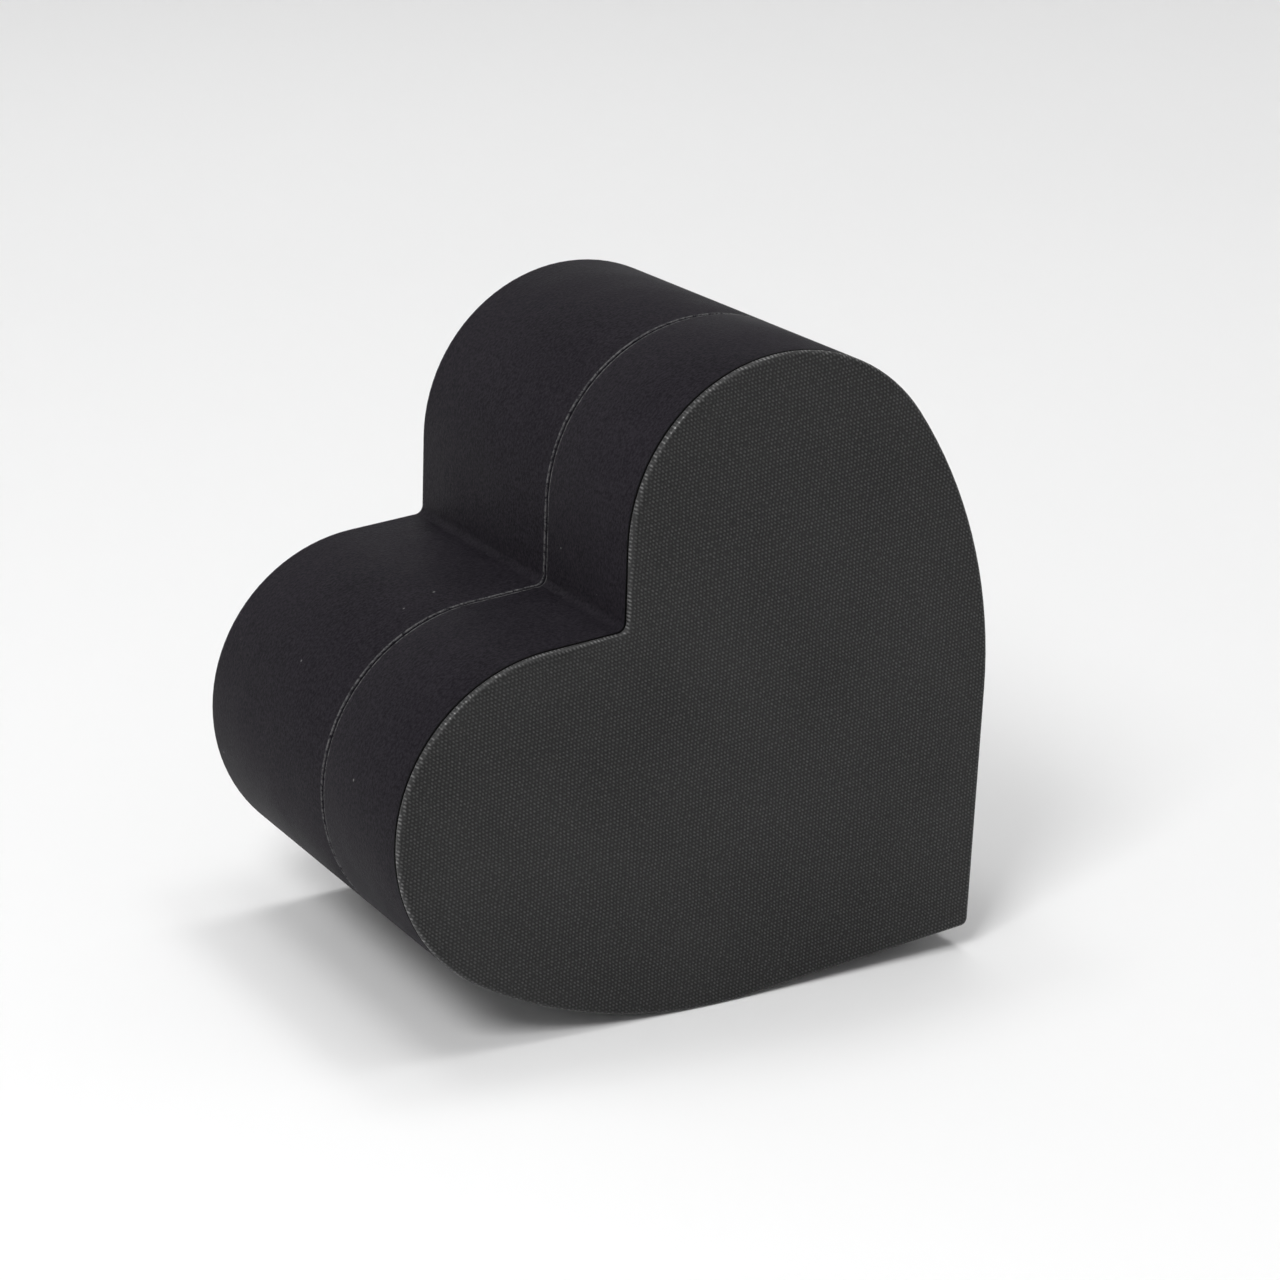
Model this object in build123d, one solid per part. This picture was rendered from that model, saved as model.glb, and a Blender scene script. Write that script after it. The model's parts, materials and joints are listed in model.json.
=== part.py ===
"""Heart-shaped keepsake box with a wind-up music movement. All lengths are in millimetres.

The box is drawn base down: the heart lies in the XY plane with its lobes towards +Y, and Z runs
from the rim of the underside (0) up to the lid's panel. The movement is drawn about the winding
arbor's axis, from the top of the bottom board, with its cylinder along +X, and is set in the box
half a turn round. At the end the whole box is stood on one flank of the heart, the way it is
displayed: the movement's weight lies to one side, so that it balances there.
"""
from build123d import *
import math
import os

# The heart. Its radii keep their shares of the width, so that its shape stays a heart.
HEART_WIDTH = 150.0
HEART_HEIGHT = 0.911 * HEART_WIDTH
LOBE_R = 0.248 * HEART_WIDTH
SIDE_R = 0.684 * HEART_WIDTH
CLEFT_DEPTH = 0.140 * HEART_WIDTH
FLANK_ANGLE = 40.8
TIP_R = 1.8
CLEFT_R = 2.0
DISPLAY_TURN = 46.3

# Depths of the box, from the underside rim to the panel.
BASE_DEPTH = 60.0
LID_DEPTH = 36.9
SEAM_GAP = 0.9
WELL_DEPTH = 16.0
BOTTOM_T = 2.5
HEADROOM = 28.5
PLATFORM_T = 2.0
NECK_RISE = 22.0

# Boards, papers and their clearances.
PAPER_T = 0.35
LID_BOARD_T = 1.85
NECK_T = 1.5
NECK_CLEARANCE = 0.4
LEDGE_T = 2.5
PLATFORM_CLEARANCE = 0.3
PANEL_T = 1.6
PANEL_ROUND = 1.1
LINEN_T = 0.4
LID_TOP_T = 1.8
VELVET_T = 0.8
TURN_IN = 12.0
EDGE_ROUND = 0.5
RUNNING_FIT = 0.04

# The movement: bedplate and the winding side.
BED_T = 3.0
BED_CORNER = 3.0
WHEEL_GAP = 0.5
WHEEL_T = 1.4
ARBOR_R = 2.0
ARBOR_TAIL = 7.0
CROWN_TEETH = 38
CROWN_MODULE = 0.6
CROWN_FACE = 2.0
DRIVE_TEETH = 16
ADDENDUM = 0.42
DEDENDUM = 0.65
HOUSING_WALL = 0.9
HOUSING_H = 13.0
HOUSING_LIFT = 0.6
GEAR_GAP = 0.7
LEG_W = 4.6
LEG_T = 3.4
LEG_ANGLES = (100, 180, 260)
SPRING_T = 0.3
SPRING_PITCH = 0.62
SPRING_CLEARANCE = 0.4
RATCHET_TEETH = 12
RATCHET_R = 4.6
RATCHET_T = 1.0

# The pinned cylinder and the comb.
DRUM_R = 6.4
DRUM_WALL = 0.8
NOTE_COUNT = 18
NOTE_PITCH = 0.95
DRUM_GAP = 0.35
DRUM_MARGIN = 1.3
PIN_R = 0.16
PIN_H = 0.6
PINS_PER_NOTE = 5
CYL_ARBOR_R = 1.0
PIVOT_R = 0.7
GEAR_W = 1.7
END_TEETH = 24
FINE_MODULE = 0.5
COMB_CLEARANCE = 0.15
TOOTH_T = 0.9
TOOTH_W = 0.6
BASS_LENGTH = 12.5
TREBLE_LENGTH = 8.5
COMB_HEEL = 6.5
COMB_HEEL_T = 2.0
WEIGHT_COUNT = 6

# The governor and the stop.
PINION_TEETH = 8
WORM_WHEEL_TEETH = 22
WORM_R = 1.5
WORM_TOOTH_W = 0.5
WORM_LENGTH = 6.2
PLATE_T = 1.4
GOV_ARBOR_R = 0.8
GOV_PIVOT_R = 0.4
FLY_R = 4.8
FLY_H = 3.5
BRAKE_DISC_R = 2.6
BRAKE_GAP = 0.15
STOP_TRAVEL = 4.0
STEM_W = 2.0
SLIDE_GAP = 0.12
KNOB = (8.0, 6.0, 3.0)
STOP_SHARE = 0.3753

# The winding key and the screws.
KEY_STEM_WALL = 1.2
KEY_SPAN = 23.0
KEY_T = 1.6
KEY_RIM_CLEARANCE = 1.4
BUSH_CLEARANCE = 0.3
SCREW_R = 0.75
SCREW_HOLE_R = 0.85
HEAD_R = 1.5
HEAD_T = 0.9
MOUNT_SCREW_R = 1.2
MOUNT_HEAD_R = 2.4

BUSH_R = ARBOR_R + BUSH_CLEARANCE
KEY_STEM_R = ARBOR_R + KEY_STEM_WALL

# Levels of the box.
DECK_Z = WELL_DEPTH + BOTTOM_T
PLATFORM_Z = DECK_Z + HEADROOM
NECK_TOP = BASE_DEPTH + NECK_RISE
LID_Z = BASE_DEPTH + SEAM_GAP
PANEL_Z = LID_Z + LID_DEPTH - PANEL_T
LID_INNER = PAPER_T + LID_BOARD_T + PAPER_T
NECK_OUTER = LID_INNER + NECK_CLEARANCE
NECK_INNER = NECK_OUTER + NECK_T
KEY_Y = -0.153 * HEART_WIDTH

# Places in the movement, about the winding arbor.
CROWN_R = CROWN_TEETH * CROWN_MODULE / 2
DRIVE_R = DRIVE_TEETH * CROWN_MODULE / 2
DRUM_LIFT = DRUM_R + PIN_H + DRUM_GAP - WHEEL_T - DEDENDUM - DRIVE_R
WHEEL_Z = BED_T + max(WHEEL_GAP, DRUM_LIFT)
WEB_TOP = WHEEL_Z + WHEEL_T
CYL_Z = WEB_TOP + DEDENDUM + DRIVE_R
CROWN_OUT = CROWN_R + CROWN_FACE / 2
HOUSING_R = CROWN_R - CROWN_FACE / 2 - GEAR_GAP
HOUSING_Z = WEB_TOP + DEDENDUM + ADDENDUM + HOUSING_LIFT
LEG_R = CROWN_OUT + 0.6 + LEG_T / 2
DRIVE_X = CROWN_R - GEAR_W / 2
DRUM_X = CROWN_OUT + 0.5
DRUM_L = NOTE_PITCH * (NOTE_COUNT - 1) + 2 * DRUM_MARGIN
END_X = DRUM_X + DRUM_L + 0.4
PLATE_X = END_X + GEAR_W + 0.5
END_R = END_TEETH * FINE_MODULE / 2
PINION_R = PINION_TEETH * FINE_MODULE / 2
WORM_WHEEL_R = WORM_WHEEL_TEETH * FINE_MODULE / 2
GOV_Y = END_R + PINION_R
WORM_Y = GOV_Y - WORM_WHEEL_R - WORM_R
WORM_X = PLATE_X + PLATE_T + 0.9 + WORM_R + ADDENDUM
OUTER_PLATE_X = WORM_X + WORM_R + ADDENDUM + 0.9
TIP_Y = -(DRUM_R + PIN_H + COMB_CLEARANCE)
HEEL_Y = TIP_Y - BASS_LENGTH - COMB_HEEL
COMB_Z = CYL_Z - TOOTH_T / 2
FRAME_T = 1.0
FOOT_L = 3.6
FOOT_W = 4.0
PLATE_Y = -(DRUM_R + PIN_H + FOOT_W - 0.3)
FRAME_Y = WORM_Y - FLY_R - 3.2
DISC_Z = CYL_Z + WORM_WHEEL_R - 0.6
FLY_Z = CYL_Z + WORM_WHEEL_R + ADDENDUM + 0.7
ARM_Z = FLY_Z + FLY_H + 0.7
BED_END = OUTER_PLATE_X + PLATE_T + 1.2
STEM_X = BED_END + STOP_TRAVEL + 2.4
KEY_X = STEM_X - STOP_SHARE * HEART_WIDTH
BED_Y = (HEEL_Y - 1.0, LEG_R + LEG_T / 2 + 1.2)
BED_X = (-LEG_R - LEG_T / 2 - 1.2, BED_END)
MOUNT_POINTS = (
    (BED_X[0] + 4.0, BED_Y[0] + 6.0),
    (BED_X[0] + 4.0, BED_Y[1] - 5.0),
    (BED_END - 4.5, BED_Y[0] + 6.0),
)


def arc(centre, start, end):
    """The shorter arc about a centre from one point to another."""
    middle = (start - centre).normalized() + (end - centre).normalized()
    return ThreePointArc(start, centre + middle.normalized() * (start - centre).length, end)


def heart(grow=0.0):
    """The heart as a face, its outline moved outwards by grow, with the lobe centres on Y = 0."""
    angle = math.radians(FLANK_ANGLE)
    along = Vector(math.cos(angle), math.sin(angle))
    out = Vector(math.sin(angle), -math.cos(angle))
    lobe = Vector(HEART_WIDTH / 2 - LOBE_R, 0)
    tip = Vector(0, LOBE_R - HEART_HEIGHT)
    cleft = Vector(0, LOBE_R - CLEFT_DEPTH)
    offset_tip = tip - out * SIDE_R - lobe
    run = offset_tip.dot(along)
    flank = -run - math.sqrt(run**2 - offset_tip.dot(offset_tip) + (SIDE_R - LOBE_R) ** 2)
    side = tip + along * flank - out * SIDE_R
    to_cleft = cleft - lobe
    lean = math.atan2(to_cleft.Y, to_cleft.X) - math.acos(LOBE_R / to_cleft.length)
    inner = Vector(math.cos(lean), math.sin(lean))

    tip_r = max(TIP_R + grow, 0.2)
    cleft_r = CLEFT_R - grow
    tip_centre = Vector(0, tip.Y + (tip_r - grow) / math.cos(angle))
    cleft_centre = Vector(0, cleft.Y + (cleft_r + grow) / inner.Y)
    flank_start = tip_centre + out * tip_r
    flank_end = tip + along * flank + out * grow
    side_end = side + (lobe - side).normalized() * (SIDE_R + grow)
    lobe_end = lobe + inner * (LOBE_R + grow)
    cleft_start = cleft_centre - inner * cleft_r
    right = [
        Line(flank_start, flank_end),
        arc(side, flank_end, side_end),
        arc(lobe, side_end, lobe_end),
        Line(lobe_end, cleft_start),
    ]
    left = [edge.mirror(Plane.YZ) for edge in right]
    mirrored = Vector(-1, 1)
    bottom = ThreePointArc(
        Vector(mirrored.X * flank_start.X, flank_start.Y), tip_centre - Vector(0, tip_r), flank_start
    )
    top = ThreePointArc(
        cleft_start,
        cleft_centre - Vector(0, cleft_r),
        Vector(mirrored.X * cleft_start.X, cleft_start.Y),
    )
    return Face(Wire([bottom, *right, top, *left]))


def heart_plate(grow, low, high):
    """A heart-shaped board between two levels."""
    return Pos(0, 0, low) * extrude(heart(grow), high - low, dir=(0, 0, 1))


def heart_ring(outer, inner, low, high):
    """A heart-shaped wall, from outer to inner below the box's own outline."""
    return heart_plate(-outer, low, high) - heart_plate(-inner, low, high)


def rod(radius, low, high, x=0.0, y=0.0):
    """A round rod along Z between two levels."""
    return Pos(x, y, (low + high) / 2) * Cylinder(radius, high - low)


def rod_x(radius, low, high, y=0.0, z=0.0):
    """A round rod along X between two places."""
    return Pos((low + high) / 2, y, z) * Rot(0, 90, 0) * Cylinder(radius, high - low)


def block(x, y, z):
    """A rectangular block from three (low, high) pairs."""
    size = [high - low for low, high in (x, y, z)]
    return Pos((x[0] + x[1]) / 2, (y[0] + y[1]) / 2, (z[0] + z[1]) / 2) * Box(*size)


def gear(teeth, module, width, bore, turn=0.0):
    """A spur gear with straight-sided teeth about Z, one tooth on +X when turn is 0."""
    pitch = 2 * math.pi / teeth
    root = teeth * module / 2 - DEDENDUM
    top = teeth * module / 2 + ADDENDUM
    points = []
    for tooth in range(teeth):
        middle = tooth * pitch + math.radians(turn)
        for radius, half in ((root, 0.29), (top, 0.13), (top, -0.13), (root, -0.29)):
            angle = middle - half * pitch
            points.append((radius * math.cos(angle), radius * math.sin(angle)))
    blank = extrude(Face(Wire.make_polygon(points)), width, dir=(0, 0, 1))
    return blank - rod(bore, -width, 2 * width)


def along_x(shape, x, y=0.0, z=0.0):
    """A shape drawn from the XY plane up, turned to lie from x along +X."""
    return Pos(x, y, z) * Rot(0, 90, 0) * shape


def screw(x, y, seat, length, radius=SCREW_R, head=HEAD_R):
    """A slotted screw, its head on a seat and its shank below it."""
    top = rod(head, seat, seat + HEAD_T, x, y)
    slot = block((x - head, x + head), (y - 0.2, y + 0.2), (seat + HEAD_T * 0.5, seat + HEAD_T + 1))
    return top - slot + rod(radius, seat - length, seat, x, y)


# ---- the lid ----

def panel_board():
    """The board inside the lid's linen-covered panel."""
    board = heart_plate(-LINEN_T, PANEL_Z, PANEL_Z + PANEL_T - LINEN_T)
    return fillet(board.faces().sort_by(Axis.Z)[-1].edges(), PANEL_ROUND - LINEN_T)


def panel_cover():
    """Linen-grained cover, drawn over the panel's face and rounded edge."""
    cover = heart_plate(0, PANEL_Z, PANEL_Z + PANEL_T)
    cover = fillet(cover.faces().sort_by(Axis.Z)[-1].edges(), PANEL_ROUND)
    cover = chamfer(cover.faces().sort_by(Axis.Z)[0].edges(), PAPER_T / 2)
    return cover - panel_board()


def lid_wall_paper():
    """The lid's outer paper, folded round the open edge and a little way up inside."""
    skin = heart_ring(0, PAPER_T, LID_Z, PANEL_Z)
    edge = heart_ring(0, LID_INNER, LID_Z, LID_Z + PAPER_T)
    turned = heart_ring(LID_INNER - PAPER_T, LID_INNER, LID_Z, LID_Z + TURN_IN)
    return skin + edge + turned


def lid_parts():
    """Everything that lifts off with the lid."""
    inside = LID_INNER - PAPER_T
    ceiling = PANEL_Z - LID_TOP_T
    return {
        "panel_board": panel_board(),
        "panel_linen_cover": panel_cover(),
        "lid_wall_board": heart_ring(PAPER_T, inside, LID_Z + PAPER_T, PANEL_Z),
        "lid_wall_paper": lid_wall_paper(),
        "lid_top_board": heart_plate(-inside, ceiling, PANEL_Z),
        "lid_wall_lining": heart_ring(inside, LID_INNER, LID_Z + TURN_IN, ceiling - VELVET_T),
        "lid_ceiling_velvet": heart_plate(-inside, ceiling - VELVET_T, ceiling),
    }


# ---- the base ----

def base_wall_paper():
    """The base's outer paper, folded over both edges and up inside the key well."""
    skin = heart_ring(0, PAPER_T, 0, BASE_DEPTH)
    foot = heart_ring(0, NECK_OUTER + PAPER_T, 0, PAPER_T)
    turned = heart_ring(NECK_OUTER, NECK_OUTER + PAPER_T, 0, WELL_DEPTH - PAPER_T)
    top = heart_ring(0, NECK_OUTER, BASE_DEPTH - PAPER_T, BASE_DEPTH)
    return skin + foot + turned + top


def neck_ring():
    """The inner wall that stands above the seam, where the lid slides over it."""
    neck = heart_ring(NECK_OUTER, NECK_INNER, DECK_Z, NECK_TOP)
    return fillet(neck.faces().sort_by(Axis.Z)[-1].edges(), EDGE_ROUND)


def seat_of_movement():
    """Where the movement's own frame sits in the box."""
    return Pos(KEY_X, KEY_Y, DECK_Z) * Rot(0, 0, 180)


def floor_holes():
    """What is cut through the bottom board and its paper: bush, screws and the stop's slot."""
    low = -BOTTOM_T - 1
    holes = rod(BUSH_R + 0.7, low, 1)
    for x, y in MOUNT_POINTS:
        holes += rod(MOUNT_SCREW_R + 0.1, low, 1, x, y)
    half = STEM_W / 2 + SLIDE_GAP
    slot = block((STEM_X - half - STOP_TRAVEL, STEM_X + half), (WORM_Y - half, WORM_Y + half), (low, 1))
    return seat_of_movement() * (holes + slot)


def base_parts():
    """Walls, floor and the lined compartment."""
    holes = floor_holes()
    loose = NECK_INNER + PLATFORM_CLEARANCE
    return {
        "base_wall_board": heart_ring(PAPER_T, NECK_OUTER, PAPER_T, BASE_DEPTH - PAPER_T),
        "base_wall_paper": base_wall_paper(),
        "bottom_board": heart_plate(-NECK_OUTER, WELL_DEPTH, DECK_Z) - holes,
        "bottom_paper": heart_plate(-NECK_OUTER, WELL_DEPTH - PAPER_T, WELL_DEPTH) - holes,
        "neck_ring": neck_ring(),
        "platform_ledge": heart_ring(NECK_INNER, NECK_INNER + LEDGE_T, DECK_Z, PLATFORM_Z),
        "platform_board": heart_plate(-loose, PLATFORM_Z, PLATFORM_Z + PLATFORM_T),
        "platform_velvet": heart_plate(
            -loose, PLATFORM_Z + PLATFORM_T, PLATFORM_Z + PLATFORM_T + VELVET_T
        ),
    }


# ---- the movement, fixed pieces ----

def bedplate():
    """Cast bedplate with the comb's anvil, a window under the cylinder and screw bosses."""
    plate = block(BED_X, BED_Y, (0, BED_T))
    plate = fillet(plate.edges().filter_by(Axis.Z), BED_CORNER)
    drum_end = DRUM_X + DRUM_L
    plate += block(
        (DRUM_X - 0.3, drum_end + 0.3), (HEEL_Y, HEEL_Y + COMB_HEEL), (BED_T, CYL_Z - COMB_HEEL_T / 2)
    )
    window = DRUM_R + PIN_H + 0.5
    plate -= block((DRUM_X + 1, drum_end - 1), (-window, window), (-1, BED_T + 1))
    for x, y in MOUNT_POINTS:
        plate += rod(MOUNT_HEAD_R + 0.6, BED_T, BED_T + 2, x, y)
        plate -= rod(MOUNT_SCREW_R, -1, BED_T + 1.2, x, y)
    for x, y in comb_screw_points():
        plate -= rod(SCREW_R, BED_T + 1, CYL_Z, x, y)
    for x, y in leg_points() + frame_screw_points() + plate_screw_points():
        plate -= rod(SCREW_R, 0.5, BED_T + 1, x, y)
    return plate - rod(ARBOR_R + RUNNING_FIT, -1, BED_T + 1)


def leg_points():
    """Centres of the spring housing's legs."""
    angles = [math.radians(angle) for angle in LEG_ANGLES]
    return [(LEG_R * math.cos(angle), LEG_R * math.sin(angle)) for angle in angles]


def comb_screw_points():
    """Three screws along the comb's heel."""
    middle = DRUM_X + DRUM_L / 2
    return [(middle + step * DRUM_L * 0.34, HEEL_Y + COMB_HEEL / 2) for step in (-1, 0, 1)]


def frame_screw_points():
    """Two screws that hold the governor frame down."""
    return [(WORM_X, FRAME_Y - 1.9), (OUTER_PLATE_X + PLATE_T - 2.2, GOV_Y + 4.2)]


def plate_screw_points():
    """The screw that holds the cylinder's end plate down."""
    return [(PLATE_X - FOOT_L / 2, PLATE_Y + FOOT_W / 2)]


def spring_housing():
    """The cage over the mainspring, on three legs that reach past the great wheel."""
    top = HOUSING_Z + HOUSING_H
    cage = rod(HOUSING_R, HOUSING_Z, top)
    cage = fillet(cage.edges().sort_by(Axis.Z)[-1], 1.2)
    cage -= rod(HOUSING_R - HOUSING_WALL, HOUSING_Z - 1, top - HOUSING_WALL)
    cage += rod(ARBOR_R + 1.6, top - 0.2, top + 0.5)
    cage -= rod(ARBOR_R + RUNNING_FIT, top - 3, top + 2)
    inner = HOUSING_R - HOUSING_WALL / 2
    reach = LEG_R + LEG_T / 2
    leg = block((inner, reach), (-LEG_W / 2, LEG_W / 2), (HOUSING_Z, HOUSING_Z + 2))
    leg += block((reach - LEG_T, reach), (-LEG_W / 2, LEG_W / 2), (BED_T, HOUSING_Z + 2))
    leg -= rod(SCREW_HOLE_R, BED_T - 1, HOUSING_Z + 3, LEG_R)
    for angle in LEG_ANGLES:
        cage += Rot(0, 0, angle) * leg
    return cage - rod_x(PIVOT_R + RUNNING_FIT, 0, HOUSING_R + 1, 0, CYL_Z)


def mainspring():
    """The coiled strip, as half turns about two centres, between arbor and housing."""
    step = SPRING_PITCH / 2
    first = ARBOR_R + 1.0 + SPRING_CLEARANCE
    room = HOUSING_R - HOUSING_WALL - SPRING_CLEARANCE - SPRING_T - first
    half_turns = 2 * int(room / SPRING_PITCH)
    sides = []
    for extra in (0, SPRING_T):
        side = []
        for half in range(half_turns):
            up = 1 if half % 2 == 0 else -1
            centre = 0 if half % 2 == 0 else step
            radius = first + half * step + extra
            points = [(centre + up * radius, 0), (centre, up * radius), (centre - up * radius, 0)]
            side.append(ThreePointArc(*points))
        sides.append(side)
    start = Line(sides[0][0] @ 0, sides[1][0] @ 0)
    end = Line(sides[0][-1] @ 1, sides[1][-1] @ 1)
    strip = Face(Wire([*sides[0], end, *sides[1], start]))
    low = HOUSING_Z + 0.8
    high = HOUSING_Z + HOUSING_H - HOUSING_WALL - 0.8
    return Pos(0, 0, low) * extrude(strip, high - low, dir=(0, 0, 1))


def comb():
    """The tuned steel comb: a heel, graded teeth and weights under the bass teeth."""
    width = (DRUM_X, DRUM_X + DRUM_L)
    heel_top = CYL_Z + COMB_HEEL_T / 2
    body = block(width, (HEEL_Y, HEEL_Y + COMB_HEEL), (CYL_Z - COMB_HEEL_T / 2, heel_top))
    teeth = []
    for note in range(NOTE_COUNT):
        share = note / (NOTE_COUNT - 1)
        length = BASS_LENGTH + (TREBLE_LENGTH - BASS_LENGTH) * share
        x = note_x(note)
        sides = (x - TOOTH_W / 2, x + TOOTH_W / 2)
        root = (x - NOTE_PITCH / 2, x + NOTE_PITCH / 2)
        teeth.append(block(sides, (TIP_Y - length - 0.5, TIP_Y), (COMB_Z, COMB_Z + TOOTH_T)))
        teeth.append(block(root, (HEEL_Y + COMB_HEEL - 1, TIP_Y - length), (COMB_Z, COMB_Z + TOOTH_T)))
        if note < WEIGHT_COUNT:
            drop = 2.6 - 0.3 * note
            teeth.append(block(sides, (TIP_Y - 4.5, TIP_Y - 1.5), (COMB_Z - drop, COMB_Z)))
    body = body + teeth
    for x, y in comb_screw_points():
        body -= rod(SCREW_HOLE_R, CYL_Z - COMB_HEEL_T, heel_top + 1, x, y)
    return body


def note_x(note):
    """Where one note's row of pins and its tooth lie."""
    return DRUM_X + DRUM_MARGIN + note * NOTE_PITCH


def end_plate():
    """The plate that carries the cylinder's end pivot and the governor arbor."""
    high = CYL_Z + 3.2
    plate = block((PLATE_X, PLATE_X + PLATE_T), (PLATE_Y, GOV_Y + 3.2), (BED_T, high))
    plate = fillet(plate.edges().filter_by(Axis.X).sort_by(Axis.Z)[-2:], 2.0)
    foot = (PLATE_X - FOOT_L, PLATE_X + PLATE_T)
    plate += block(foot, (PLATE_Y, PLATE_Y + FOOT_W), (BED_T, BED_T + FRAME_T))
    for x, y in plate_screw_points():
        plate -= rod(SCREW_HOLE_R, BED_T - 1, BED_T + 2, x, y)
    plate -= rod_x(PIVOT_R + RUNNING_FIT, PLATE_X - 1, PLATE_X + PLATE_T + 1, 0, CYL_Z)
    return plate - rod_x(GOV_ARBOR_R + RUNNING_FIT, PLATE_X - 1, PLATE_X + PLATE_T + 1, GOV_Y, CYL_Z)


def governor_frame():
    """Foot, outer bearing plate and the arched arm that holds the worm's top pivot."""
    foot_top = BED_T + FRAME_T
    left = WORM_X - 2.4
    right = OUTER_PLATE_X + PLATE_T
    frame = block((left, right), (FRAME_Y - 3.6, GOV_Y + 6.0), (BED_T, foot_top))
    frame += block((OUTER_PLATE_X, right), (GOV_Y - 2.6, GOV_Y + 2.6), (BED_T, CYL_Z + 3.0))
    frame += block((left + 0.4, WORM_X + 2), (FRAME_Y, FRAME_Y + 2), (BED_T, ARM_Z + 1.2))
    frame += block((left + 0.4, WORM_X + 2), (FRAME_Y, WORM_Y + 2), (ARM_Z, ARM_Z + 1.2))
    for x, y in frame_screw_points():
        frame -= rod(SCREW_HOLE_R, BED_T - 1, foot_top + 1, x, y)
    frame -= rod(GOV_PIVOT_R + RUNNING_FIT, BED_T - 1, foot_top + 1, WORM_X, WORM_Y)
    frame -= rod(GOV_PIVOT_R + RUNNING_FIT, ARM_Z - 1, ARM_Z + 2, WORM_X, WORM_Y)
    return frame - rod_x(GOV_PIVOT_R + RUNNING_FIT, OUTER_PLATE_X - 1, right + 1, GOV_Y, CYL_Z)


def movement_screws():
    """The three groups of small slotted screws, one node for each group."""
    leg_seat = HOUSING_Z + 2
    comb_seat = CYL_Z + COMB_HEEL_T / 2
    foot_seat = BED_T + FRAME_T
    foot_points = frame_screw_points() + plate_screw_points()
    return {
        "housing_screws": [screw(x, y, leg_seat, leg_seat - 1) for x, y in leg_points()],
        "comb_screws": [screw(x, y, comb_seat, comb_seat - BED_T - 1.5) for x, y in comb_screw_points()],
        "governor_screws": [screw(x, y, foot_seat, foot_seat - 1) for x, y in foot_points],
    }


def mounting_screws():
    """The three screws that come up through the bottom board into the bedplate."""
    seat = BOTTOM_T + PAPER_T
    length = seat + BED_T + 1.0
    turned = [screw(x, -y, seat, length, MOUNT_SCREW_R, MOUNT_HEAD_R) for x, y in MOUNT_POINTS]
    return [Rot(180, 0, 0) * one for one in turned]


def key_bush():
    """The flanged brass bush round the arbor in the bottom board."""
    underside = -BOTTOM_T - PAPER_T
    bush = rod(BUSH_R + 0.7, underside, 0) + rod(BUSH_R + 2.7, underside - 0.8, underside)
    return bush - rod(BUSH_R, underside - 2, 1)


# ---- the movement, what the key turns ----

def winding_arbor():
    """The steel arbor from the key up to the top of the housing, with the spring's collar."""
    low = HOUSING_Z + 0.4
    high = HOUSING_Z + HOUSING_H - HOUSING_WALL - 0.4
    return rod(ARBOR_R, -BOTTOM_T - ARBOR_TAIL, HOUSING_Z + HOUSING_H + 1.2) + rod(ARBOR_R + 1.0, low, high)


def great_wheel():
    """The great wheel, with crown teeth on its upper face round the rim."""
    wheel = rod(CROWN_OUT, WHEEL_Z, WEB_TOP)
    tooth_pitch = math.pi * CROWN_MODULE
    height = ADDENDUM + DEDENDUM
    profile = [
        (-0.29 * tooth_pitch, -0.1),
        (0.29 * tooth_pitch, -0.1),
        (0.13 * tooth_pitch, height),
        (-0.13 * tooth_pitch, height),
    ]
    section = Plane.YZ * Face(Wire.make_polygon([Vector(x, y) for x, y in profile]))
    tooth = Pos(CROWN_R - CROWN_FACE / 2, 0, WEB_TOP) * extrude(section, CROWN_FACE - 0.1, dir=(1, 0, 0))
    step = 360 / CROWN_TEETH
    wheel += [Rot(0, 0, (index + 0.5) * step) * tooth for index in range(CROWN_TEETH)]
    return wheel - rod(ARBOR_R, 0, WEB_TOP + 1)


def arbor_ratchet():
    """The saw-toothed ratchet wheel fixed on the arbor."""
    points = []
    for tooth in range(RATCHET_TEETH):
        start = 2 * math.pi * tooth / RATCHET_TEETH
        end = 2 * math.pi * (tooth + 1) / RATCHET_TEETH
        points.append((RATCHET_R * math.cos(start), RATCHET_R * math.sin(start)))
        points.append(((RATCHET_R - 0.8) * math.cos(end), (RATCHET_R - 0.8) * math.sin(end)))
    wheel = extrude(Face(Wire.make_polygon(points)), RATCHET_T, dir=(0, 0, 1))
    return Pos(0, 0, WEB_TOP) * (wheel - rod(ARBOR_R, -1, RATCHET_T + 1))


def ratchet_click():
    """The click: a pawl riveted to the great wheel, its nose in the ratchet's teeth."""
    nose = RATCHET_R + 0.15
    points = [(nose - 0.1, -0.9), (nose + 1.2, -1.4), (8.6, 2.2), (8.2, 4.6), (6.6, 4.4), (6.2, 1.4)]
    pawl = extrude(Face(Wire.make_polygon(points)), RATCHET_T * 0.8, dir=(0, 0, 1))
    return Pos(0, 0, WEB_TOP) * (pawl + rod(0.7, 0, RATCHET_T + 0.2, 7.3, 3.2))


def key_stem():
    """The key's threaded socket on the end of the arbor."""
    top = -BOTTOM_T - 3.4
    stem = rod(KEY_STEM_R, top - 9.0, top)
    stem = chamfer(stem.edges().filter_by(GeomType.CIRCLE), 0.4)
    return stem - rod(ARBOR_R, -BOTTOM_T - ARBOR_TAIL, 0) - key_wings()


def key_wings():
    """The key's flat wings, one each side of the stem, with a finger hole in each."""
    low = -DECK_Z + KEY_RIM_CLEARANCE
    height = DECK_Z - BOTTOM_T - 5.6 - KEY_RIM_CLEARANCE
    half = height / 2
    middle = low + half
    wings = block((-4, 4), (-KEY_T / 2, KEY_T / 2), (low + 2.2, low + height - 2.2))
    for side in (-1, 1):
        x = side * (KEY_SPAN / 2 - half)
        turn = Pos(x, 0, middle) * Rot(90, 0, 0)
        wings += turn * Cylinder(half, KEY_T)
        wings -= turn * Cylinder(half * 0.42, 2 * KEY_T)
    return wings


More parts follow.
